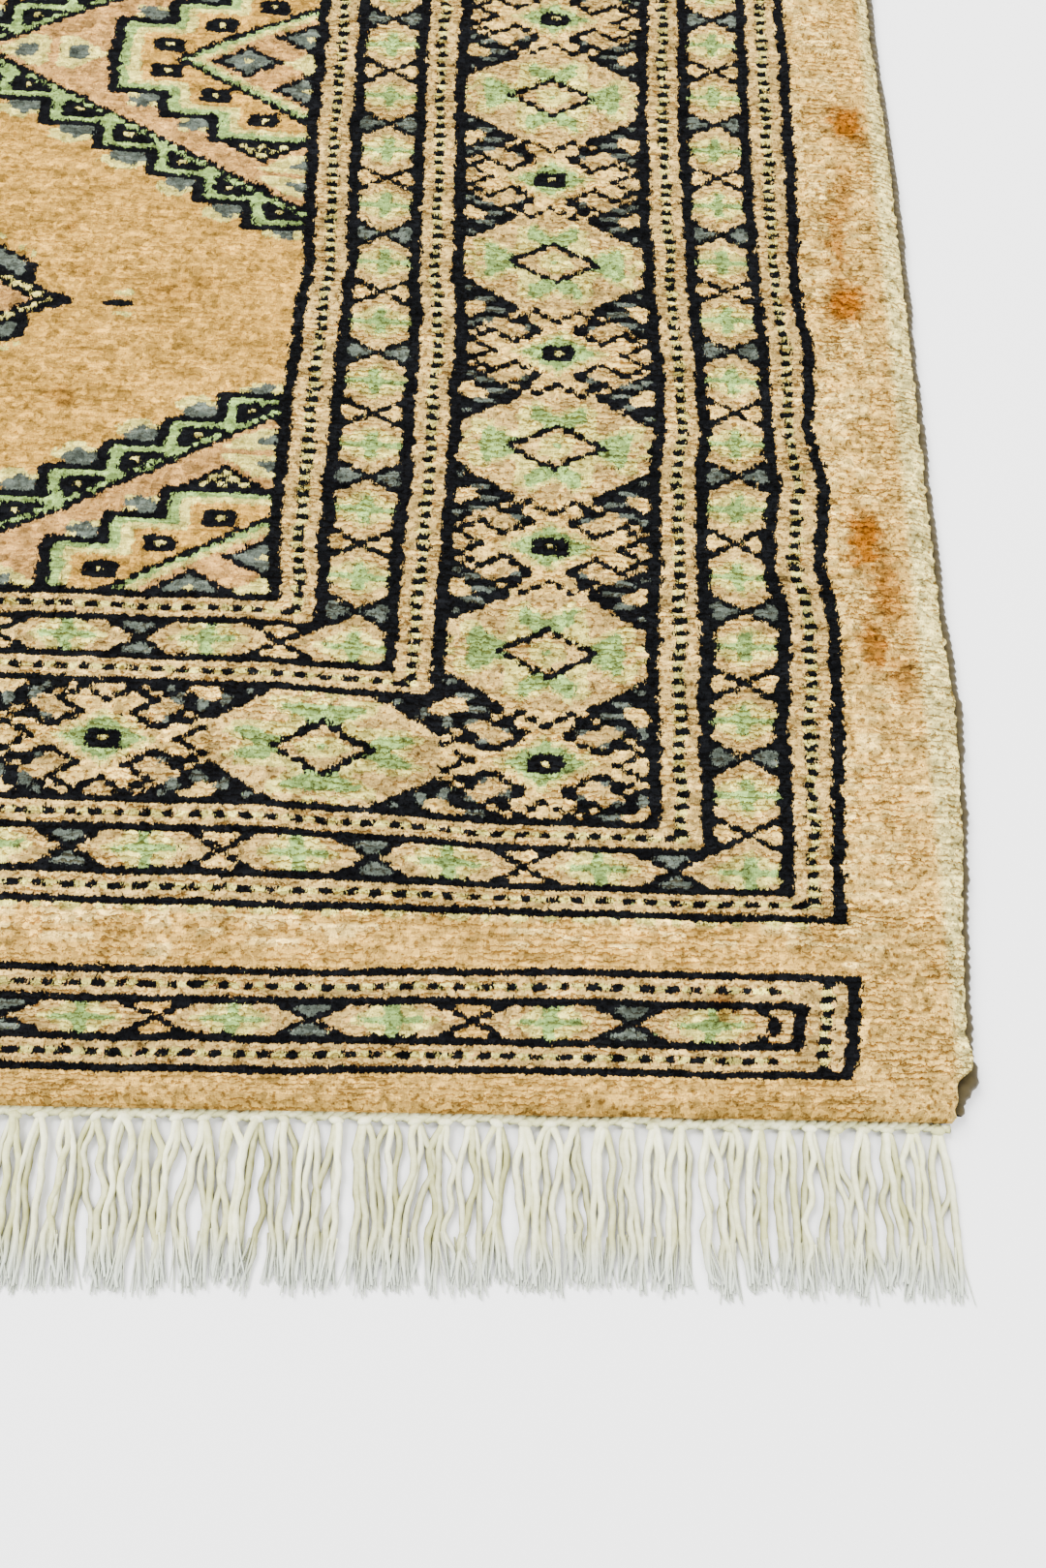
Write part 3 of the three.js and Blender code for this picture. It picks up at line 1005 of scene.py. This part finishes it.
def cotton():
    """Undyed plied cotton, off-white and matt: cream where twisted, bluish where the ends fray."""
    material, tree, shader, place = new_material("undyed_plied_cotton")
    strand = add_node(tree, ATTRIBUTE, {"attribute_name": "strand"}, "Color")
    along, own_shade, _ = add_node(tree, SPLIT, _0=strand).node.outputs
    tone = add_node(tree, NOISE, Vector=place, Scale=1 / COTTON_SLUBS, Detail=4.0, Roughness=0.65)
    tone = add_node(tree, MATH, SCALED_SUM, _0=own_shade, _1=0.5, _2=tone)
    tone = add_node(tree, RANGE, _0=tone, _1=0.5, _2=1.0)
    colour = add_node(tree, MIX, BLEND, 2, _0=tone, _6=srgb(COTTON_SHADE), _7=srgb(COTTON_LIGHT))
    frayed = add_node(tree, RANGE, SOFT, _0=along, _1=0.7, _2=0.95, _3=0.0, _4=0.8)
    colour = add_node(tree, MIX, BLEND, 2, _0=frayed, _6=colour, _7=srgb(FRAYED_COTTON))

    # Painted shade: the cotton is darker low down between the strands, which sets each one off from
    # the next, and less so towards the frayed tips.
    low, high = LOW_SHADE_HEIGHTS
    height = add_node(tree, "ShaderNodeSeparateXYZ", out=2, _0=place)
    low_shade = add_node(tree, RANGE, SOFT, _0=height, _1=low, _2=high, _3=1.0, _4=0.0)
    shade_along = add_node(tree, RANGE, _0=along, _1=0.6, _2=1.0, _3=1.0, _4=0.35)
    low_shade = add_node(tree, MATH, PRODUCT, _0=low_shade, _1=shade_along)
    colour = add_node(tree, MIX, TINT, 2, _0=low_shade, _6=colour, _7=srgb(PAINTED_LOW_SHADE))
    slanted = add_node(tree, MAPPING, _0=place, Rotation=(0.0, 0.0, 0.5), Scale=(1.0, 0.25, 1.0))
    twist = add_node(tree, NOISE, Vector=slanted, Scale=1 / COTTON_PLIES, Detail=2.0)
    set_surface(
        tree, shader, colour, twist, 0.7, COTTON_RELIEF, Roughness=0.95, Specular_IOR_Level=0.1
    )
    return material


CORD_SHADE = "#2E2716"
CORD_LIGHT = "#4D4329"
CORD_GRAIN = 2.381 * MM
CORD_RELIEF = 0.3 * MM


def overcast_wool():
    """Brown-grey wool overcast round a cord: matt, ribbed by its wraps."""
    material, tree, shader, place = new_material("overcast_wool_yarn")
    tone = add_node(tree, NOISE, Vector=place, Scale=1 / CORD_GRAIN, Detail=4.0, Roughness=0.65)
    colour = add_node(tree, MIX, BLEND, 2, _0=tone, _6=srgb(CORD_SHADE), _7=srgb(CORD_LIGHT))
    set_surface(
        tree, shader, colour, tone, 0.5, CORD_RELIEF,
        Roughness=0.95, Specular_IOR_Level=0.1, Sheen_Weight=0.15,
    )
    return material


BACK_LIGHT = "#B9965A"
BACK_SHADE = "#6F572F"
BACK_RELIEF = 0.4 * MM


def woven_back():
    """The back of the weave: the knots' nodes in rows, two to a knot, camel and brown and matt."""
    material, tree, shader, place = new_material("woven_cotton_foundation")
    scaled = add_node(tree, MAPPING, _0=place, Scale=(2 / KNOT, 1 / ROW, 0.0))
    nodes = add_node(
        tree, CELLS, {"feature": "F1"}, "Distance", Vector=scaled, Scale=1.0, Randomness=0.35
    )
    colour = add_node(tree, MIX, BLEND, 2, _0=nodes, _6=srgb(BACK_LIGHT), _7=srgb(BACK_SHADE))
    height = add_node(tree, MATH, DIFFERENCE, _0=1.0, _1=nodes)
    set_surface(tree, shader, colour, height, 0.7, BACK_RELIEF, Roughness=0.95)
    return material


TINY = 1e-12


def tube_mesh(paths, radii, sides):
    """Points and faces of many tubes at once. paths is (tubes, rings, 3), radii the same without 3."""
    tubes, rings, _ = paths.shape
    along = np.gradient(paths, axis=1)
    along /= np.linalg.norm(along, axis=-1, keepdims=True) + TINY
    right = np.cross(along, np.array([0.0, 0.0, 1.0]))
    right /= np.linalg.norm(right, axis=-1, keepdims=True) + TINY
    over = np.cross(right, along)
    angle = np.arange(sides) * math.tau / sides
    ring = (
        right[:, :, None] * np.cos(angle)[None, None, :, None]
        + over[:, :, None] * np.sin(angle)[None, None, :, None]
    )
    radii = radii if radii.ndim == 3 else radii[:, :, None]
    points = paths[:, :, None] + ring * radii[..., None]
    index = np.arange(tubes * rings * sides).reshape(tubes, rings, sides)
    turned = np.roll(index, -1, axis=2)
    faces = np.stack([index[:, :-1], turned[:, :-1], turned[:, 1:], index[:, 1:]], -1)
    return points.reshape(-1, 3), faces.reshape(-1, 4)


# The fringe: the warp ends in bundles of two knots' warps, knotted, then hanging as loose plies.
BUNDLE_PITCH = 2 * KNOT
BUNDLES = 121
BUNDLE_PLACES = (np.arange(BUNDLES) - (BUNDLES - 1) / 2) * BUNDLE_PITCH
BUNDLE_LEAN = 0.7 * MM
FRINGE_LENGTH = 37.0 * MM
STRANDS = 3
STRAND_LENGTHS = (0.84, 0.92)
STRAND_SPREAD = 1.86 * MM
STRAND_STRAY = 0.35 * MM
STRAND_START = 0.8 * MM
STRAND_RADIUS = 0.78 * MM
STRAND_THICKNESS = (0.85, 1.12)
# The strands of a bundle open up over the first share of their length. They wave with these turns
# and sizes, in mm, and their layers settle on the floor.
OPEN_BY = 0.2
OPEN_CURVE = 0.7
STRAND_WAVES = ((0.8, 0.65), (1.7, 0.42), (3.6, 0.26))
LAYER_HEIGHT = 1.2 * MM
SETTLED = 0.8
KNOT_LIFT = 0.5 * MM
LIFT_FALL = 4
# The plies twist in radians over the length, and the strand thins from where it frays.
PLY_RELIEF = 0.12
PLY_TWIST = 46
FRAY_FROM = 0.72
FRAY_THINNING = 0.68
HAIR_RADIUS = 0.31 * MM
HAIR_RINGS = 4
HAIR_SIDES = 3
HAIR_LENGTHS = (1.0, 1.2)
HAIR_THINNING = 0.5
HAIR_FAN = 1.15 * MM
HAIR_FAN_CURVE = 1.3
HAIR_STRAY = 0.4 * MM
HAIR_SINK = 0.6
HAIR_LIFT = (0.1 * MM, 0.25 * MM)
HAIR_LOWEST = 0.25 * MM
HAIR_PLACE = (0.75, 1.0)
# The heading lies along the end of the pile, where the tufts overhang it more at the near end.
HEADING_PLACE = {-1: HALF_LENGTH - 2.0 * MM, 1: HALF_LENGTH + 0.6 * MM}
HEADING_RINGS = 500
HEADING_SIDES = 5
HEADING_RADIUS = 0.85 * MM
HEADING_HEIGHT = 1.5 * MM
HEADING_TWINE = 0.55 * MM
HEADING_TURN = 1.6 * KNOT
HEADING_SHADE = 0.35
HEADING_SLUBS = 90
HEADING_SLUB_SIZES = (0.75, 1.25)
HEADING_BENDS = 130
HEADING_BEND = 0.3 * MM
# The knot over each bundle: a short bulged tube laid across it, a little askew.
KNOT_RINGS = 6
KNOT_SIDES = 8
KNOT_TILT = 0.35
KNOT_OUT = 0.9 * MM
KNOT_STRAY = 0.3 * MM
KNOT_RADII = (0.8 * MM, 1.1 * MM)
KNOT_HALF_WIDTH = 1.6 * MM
KNOT_SLANT = 1.2 * MM
KNOT_HEIGHT = 1.7 * MM
FLOOR_GAP = 0.02 * MM


def strand_paths(rng, end, rings):
    """The course of every strand of one fringe, from its knot to its tip."""
    count = BUNDLES * STRANDS
    bundle = np.repeat(BUNDLE_PLACES, STRANDS)
    order = np.tile(np.arange(STRANDS) - (STRANDS - 1) / 2, BUNDLES)
    length = FRINGE_LENGTH * rng.uniform(*STRAND_LENGTHS, count)
    along = np.linspace(0, 1, rings)[None, :]
    lean = np.repeat(rng.normal(0, BUNDLE_LEAN, BUNDLES), STRANDS)[:, None]
    spread = (order * STRAND_SPREAD + rng.normal(0, STRAND_STRAY, count))[:, None]
    open_up = np.clip(along / OPEN_BY, 0, 1) ** OPEN_CURVE
    wave = np.zeros((count, rings))
    for turns, size in STRAND_WAVES:
        phase = rng.uniform(0, math.tau, count)[:, None]
        amount = rng.normal(0, size, count)[:, None]
        wave += np.sin(along * turns * math.tau + phase) * amount * MM * open_up
    x = bundle[:, None] + spread * open_up + lean * along + wave
    start = end * (HEADING_PLACE[end] + STRAND_START)
    y = start + end * along * length[:, None]
    layer = rng.uniform(0, 1, count)[:, None]
    z = STRAND_RADIUS + layer * LAYER_HEIGHT * (1 - SETTLED * along)
    z = z + KNOT_LIFT * np.clip(1 - along * LIFT_FALL, 0, 1)
    return np.stack([x, np.broadcast_to(y, x.shape), z], -1)


def cotton_tubes(paths, radii, sides, along, shade):
    """Tubes, with what the cotton reads at each point: how far along it is and its strand's shade."""
    marks = np.stack(np.broadcast_arrays(along, shade), -1).repeat(sides, axis=1)
    return (*tube_mesh(paths, radii, sides), marks.reshape(-1, 2))


def frayed_tips(rng, paths, end, hairs, shade):
    """Fine fibres that fan out of every strand's end."""
    rings = paths.shape[1]
    first = int(FRAY_FROM * (rings - 1))
    begin = np.repeat(paths[:, first], hairs, axis=0)
    finish = np.repeat(paths[:, -1], hairs, axis=0)
    count = len(begin)
    steps = np.linspace(0, 1, HAIR_RINGS)[None, :]
    reach = rng.uniform(*HAIR_LENGTHS, (count, 1))
    fan = rng.normal(0, HAIR_FAN, (count, 1)) * steps**HAIR_FAN_CURVE
    aside = rng.normal(0, HAIR_STRAY, (count, 1))
    x = begin[:, :1] + (finish[:, :1] - begin[:, :1]) * steps * reach + aside + fan
    y = begin[:, 1:2] + (finish[:, 1:2] - begin[:, 1:2]) * steps * reach
    z = begin[:, 2:] * (1 - HAIR_SINK * steps) + rng.normal(*HAIR_LIFT, (count, 1))
    hair = np.stack([x, y, np.clip(z, HAIR_LOWEST, None)], -1)
    radii = HAIR_RADIUS * (1 - HAIR_THINNING * steps) * np.ones((count, 1))
    along = np.linspace(*HAIR_PLACE, HAIR_RINGS)[None, :]
    return cotton_tubes(hair, radii, HAIR_SIDES, along, shade.repeat(hairs)[:, None])


def fringe_strands(rng, end, rings, sides, hairs):
    """The plied strands and their frayed tips."""
    paths = strand_paths(rng, end, rings)
    count = len(paths)
    along = np.linspace(0, 1, rings)[None, :, None]
    angle = (np.arange(sides) * math.tau / sides)[None, None, :]
    turned = along * PLY_TWIST + rng.uniform(0, 6, count)[:, None, None]
    ply = 1 + PLY_RELIEF * np.cos(2 * angle + turned)
    taper = 1 - FRAY_THINNING * np.clip((along - FRAY_FROM) / (1 - FRAY_FROM), 0, 1)
    radii = STRAND_RADIUS * ply * taper * rng.uniform(*STRAND_THICKNESS, count)[:, None, None]
    shade = rng.uniform(0, 1, count)
    strands = cotton_tubes(paths, radii, sides, along[..., 0], shade[:, None])
    return [strands, frayed_tips(rng, paths, end, hairs, shade)]


def twined_heading(rng, end):
    """Two plies twined along the end of the pile."""
    reach = np.linspace(-1, 1, HEADING_RINGS)[None, :]
    half = (BUNDLES / 2) * BUNDLE_PITCH
    slubs = rng.uniform(*HEADING_SLUB_SIZES, HEADING_SLUBS)
    thick = np.interp(reach[0], np.linspace(-1, 1, HEADING_SLUBS), slubs)[None]
    bends = rng.normal(0, HEADING_BEND, HEADING_BENDS)
    uneven = np.interp(reach[0], np.linspace(-1, 1, HEADING_BENDS), bends)[None]
    plies = []
    for start in (0.0, math.pi):
        turn = reach * half * math.tau / HEADING_TURN + start
        y = end * (HEADING_PLACE[end] + HEADING_TWINE * np.cos(turn)) + uneven
        path = np.stack([reach * half, y, HEADING_HEIGHT + HEADING_TWINE * np.sin(turn)], -1)
        shade = np.full(reach.shape, HEADING_SHADE)
        plies.append(cotton_tubes(path, HEADING_RADIUS * thick, HEADING_SIDES, shade, shade))
    return plies


def bundle_knots(rng, end):
    """A knot tied over each bundle."""
    bend = np.linspace(-1, 1, KNOT_RINGS)[None, :]
    tilt = rng.normal(0, KNOT_TILT, (BUNDLES, 1))
    x = BUNDLE_PLACES[:, None] + rng.normal(0, KNOT_STRAY, (BUNDLES, 1))
    x = x + KNOT_HALF_WIDTH * bend * np.cos(tilt)
    y = end * (HEADING_PLACE[end] + KNOT_OUT) + KNOT_SLANT * bend * np.sin(tilt)
    z = KNOT_HEIGHT + KNOT_LIFT * (1 - bend**2) + 0 * x
    bulge = rng.uniform(*KNOT_RADII, (BUNDLES, 1)) * np.sqrt(np.clip(1.05 - bend**2, 0.05, 1))
    shade = rng.uniform(0, 1, (BUNDLES, 1))
    return cotton_tubes(np.stack([x, y, z], -1), bulge, KNOT_SIDES, 0 * bend, shade)


def fringe_piece(name, end, rings, sides, hairs, material, seed):
    """One comb of fringe: a twined heading, a knot to each bundle, wavy strands and frayed tips."""
    rng = np.random.default_rng(seed)
    parts = fringe_strands(rng, end, rings, sides, hairs)
    parts += twined_heading(rng, end)
    parts.append(bundle_knots(rng, end))
    points = np.concatenate([part[0] for part in parts])
    offsets = np.cumsum([0] + [len(part[0]) for part in parts[:-1]])
    faces = np.concatenate([part[1] + offset for part, offset in zip(parts, offsets)])
    marks = np.concatenate([part[2] for part in parts])
    points[:, 2] = np.clip(points[:, 2], FLOOR_GAP, None)
    piece = mesh_piece(name, points, faces, material)
    give_attribute(piece, "strand", np.concatenate([marks, np.zeros((len(marks), 1))], 1))
    return piece


# The overcast cord: flat, with a ridge to each wrap, and thinner at its two ends.
WRAP_PITCH = 2.3 * MM
WRAP_RELIEF = 0.1
WRAP_UNEVENNESS = 0.02
RINGS_PER_WRAP = 3.5
CORD_SIDES = 8
CORD_HALF_WIDTH = 2.6 * MM
CORD_HALF_HEIGHT = 2.1 * MM
CORD_HEIGHT = 2.15 * MM
CORD_INSET = 4.0 * MM
CORD_BUMP = 0.22 * MM
CORD_BUMPS = 320
CORD_END_GAP = 0.5 * MM
CORD_END_TAPER = 8 * MM
CORD_END_SIZE = 0.55
# Near the photographed corner the cord has worked loose and stands out from under the pile, in mm.
LOOSE_PLACES = (-622, -618, -613, -608, -600, -585, -560, -530)
LOOSE_REACH = (-0.4, -1.9, -0.8, -1.9, -1.6, -1.2, -0.5, 0.0)


def side_cord(name, node, side, material):
    """The overcast edge: a flat cord under wraps of wool, following the wave of the edge."""
    outer = side_edge(node, side)
    low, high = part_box(node.name)
    near, far = low[1] + CORD_END_GAP, high[1] - CORD_END_GAP
    rings = int((far - near) / WRAP_PITCH * RINGS_PER_WRAP)
    y = np.linspace(near, far, rings)
    rng = np.random.default_rng(SEED + 7 + side)
    bumps = rng.normal(0, CORD_BUMP, CORD_BUMPS)
    bumps = np.interp(y, np.linspace(near, far, CORD_BUMPS), bumps)
    loose = eased(y / MM, LOOSE_PLACES, LOOSE_REACH) * MM if side > 0 else 0.0
    x = outer(y) - side * (CORD_INSET - bumps - loose)
    path = np.stack([x, y, np.full(rings, CORD_HEIGHT)], -1)[None]
    to_end = np.clip(np.minimum(y - near, far - y) / CORD_END_TAPER, 0, 1)
    wraps = 1 + WRAP_RELIEF * np.cos(y / WRAP_PITCH * math.tau) + rng.normal(0, WRAP_UNEVENNESS, rings)
    wraps = wraps * (CORD_END_SIZE + (1 - CORD_END_SIZE) * to_end**0.5)
    angle = np.arange(CORD_SIDES) * math.tau / CORD_SIDES
    flat = np.hypot(CORD_HALF_WIDTH * np.cos(angle), CORD_HALF_HEIGHT * np.sin(angle))
    points, faces = tube_mesh(path, (flat * wraps[:, None])[None], CORD_SIDES)
    points[:, 2] = np.clip(points[:, 2], FLOOR_GAP, None)
    return mesh_piece(name, points, faces, material)


# The foundation: how far it stays back from the pile's edges, and its underside and top.
BACK_SIDE_INSET = 4.5 * MM
BACK_END_INSET = 2.5 * MM
BACK_HEIGHTS = (0.05 * MM, 1.6 * MM)
BACK_COLUMNS = 24
BACK_LINES = 160


def foundation(frame, material):
    """The woven foundation under the pile: a thin flat slab, cut to the pile's size."""
    carpet = frame["nodes"]["carpet"]
    right, left = side_edge(carpet, 1), side_edge(carpet, -1)
    half_y = HALF_LENGTH - BACK_END_INSET
    share, y = np.meshgrid(np.linspace(0, 1, BACK_COLUMNS), np.linspace(-half_y, half_y, BACK_LINES))
    x = (left(y) + BACK_SIDE_INSET) * (1 - share) + (right(y) - BACK_SIDE_INSET) * share
    layers = [np.stack([x, y, np.full_like(x, height)], -1).reshape(-1, 3) for height in BACK_HEIGHTS]
    faces = grid_faces(BACK_LINES, BACK_COLUMNS)
    index = np.arange(x.size).reshape(x.shape)
    rim = np.concatenate([index[0], index[1:, -1], index[-1, -2::-1], index[-2:0:-1, 0]])
    following = np.roll(rim, -1)
    wall = np.stack([rim, following, following + x.size, rim + x.size], -1)
    faces = np.concatenate([faces[:, ::-1], faces + x.size, wall])
    return mesh_piece("foundation", np.concatenate(layers), faces, material, smooth=False)


# The camera stands over the near right corner, at the photograph's place and angle, in degrees.
CAMERA_PLACE = (0.2309, -0.6532, 0.2972)
CAMERA_TURN = (19.53, -3.43, 0.69)
LENS_MM = 30.9
SENSOR_MM = 36.0
CLIP_START = 0.01
# The studio: the floor, its noise and colours, and each light's place, size and power.
FLOOR_REACH = 5
FLOOR_CLOUDS = 0.5
FLOOR_SHADE = "#F6F6F6"
FLOOR_LIGHT = "#FAFAFA"
SKY_STRENGTH = 1.6
LIT_PLACE = (0.2, -0.5, 0.0)
LIGHTS = {
    "key_light": ((-0.9, 0.6, 1.9), 1.2, 175.0),
    "fill_light": ((1.4, -1.6, 1.6), 1.6, 50.0),
}


def place_camera():
    """The photograph's camera."""
    data = bpy.data.cameras.new("camera")
    data.lens = LENS_MM
    data.sensor_width = SENSOR_MM
    data.clip_start = CLIP_START
    camera = bpy.data.objects.new("camera", data)
    camera.location = CAMERA_PLACE
    camera.rotation_euler = [math.radians(angle) for angle in CAMERA_TURN]
    bpy.context.collection.objects.link(camera)
    bpy.context.scene.camera = camera


def soft_light(name, place, size, power):
    """A square soft box, turned to the middle of the photographed corner."""
    data = bpy.data.lights.new(name, "AREA")
    data.shape = "SQUARE"
    data.size = size
    data.energy = power
    light = bpy.data.objects.new(name, data)
    light.location = place
    direction = np.array(LIT_PLACE) - np.array(place)
    light.rotation_euler = (
        math.acos(-direction[2] / np.linalg.norm(direction)),
        0.0,
        math.atan2(direction[1], direction[0]) - math.pi / 2,
    )
    bpy.context.collection.objects.link(light)


def build_studio():
    """A plain pale floor under soft light from above and one side."""
    material, tree, shader, place = new_material("painted_studio_floor")
    tone = add_node(tree, NOISE, Vector=place, Scale=1 / FLOOR_CLOUDS, Detail=2.0)
    colour = add_node(tree, MIX, BLEND, 2, _0=tone, _6=srgb(FLOOR_SHADE), _7=srgb(FLOOR_LIGHT))
    tree.links.new(colour, shader.inputs["Base Color"])
    shader.inputs["Roughness"].default_value = 0.9
    corners = np.array([[-1, -1, 0], [1, -1, 0], [1, 1, 0], [-1, 1, 0]], float) * FLOOR_REACH
    floor = mesh_piece("floor", corners, np.array([[0, 1, 2, 3]]), material, smooth=False)
    world = bpy.data.worlds.new("studio")
    world.use_nodes = True
    sky = world.node_tree.nodes["Background"]
    sky.inputs["Color"].default_value = srgb("#FFFFFF")
    sky.inputs["Strength"].default_value = SKY_STRENGTH
    bpy.context.scene.world = world
    for name, (where, size, power) in LIGHTS.items():
        soft_light(name, where, size, power)


def main():
    """Builds the rug's pieces, the studio and the camera, and hides the CAD part that each piece
    replaces.
    """
    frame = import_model()
    wool = knotted_wool()
    cotton_yarn = cotton()
    binding = overcast_wool()
    pile = build_pile(frame, wool)
    back = foundation(frame, woven_back())
    dressed = [(piece, "carpet", "wool_pile") for piece in (*pile, back)]
    for name, node, side in (
        ("overcast_right", "side_cord_right", 1),
        ("overcast_left", "side_cord_left", -1),
    ):
        cord = side_cord(name, frame["nodes"][node], side, binding)
        dressed.append((cord, node, "wool_cord"))
    # The near fringe is seen close up, so it has more rings, sides and hairs to each strand.
    for name, node, end, fineness, seed in (
        ("warp_fringe_near", "fringe_near", -1, (22, 7, 8), SEED + 11),
        ("warp_fringe_far", "fringe_far", 1, (12, 5, 3), SEED + 12),
    ):
        fringe = fringe_piece(name, end, *fineness, cotton_yarn, seed)
        dressed.append((fringe, node, "cotton_warp"))
    for piece, node, slot in dressed:
        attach(piece, "root")
        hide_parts(node)
    build_studio()
    place_camera()


main()
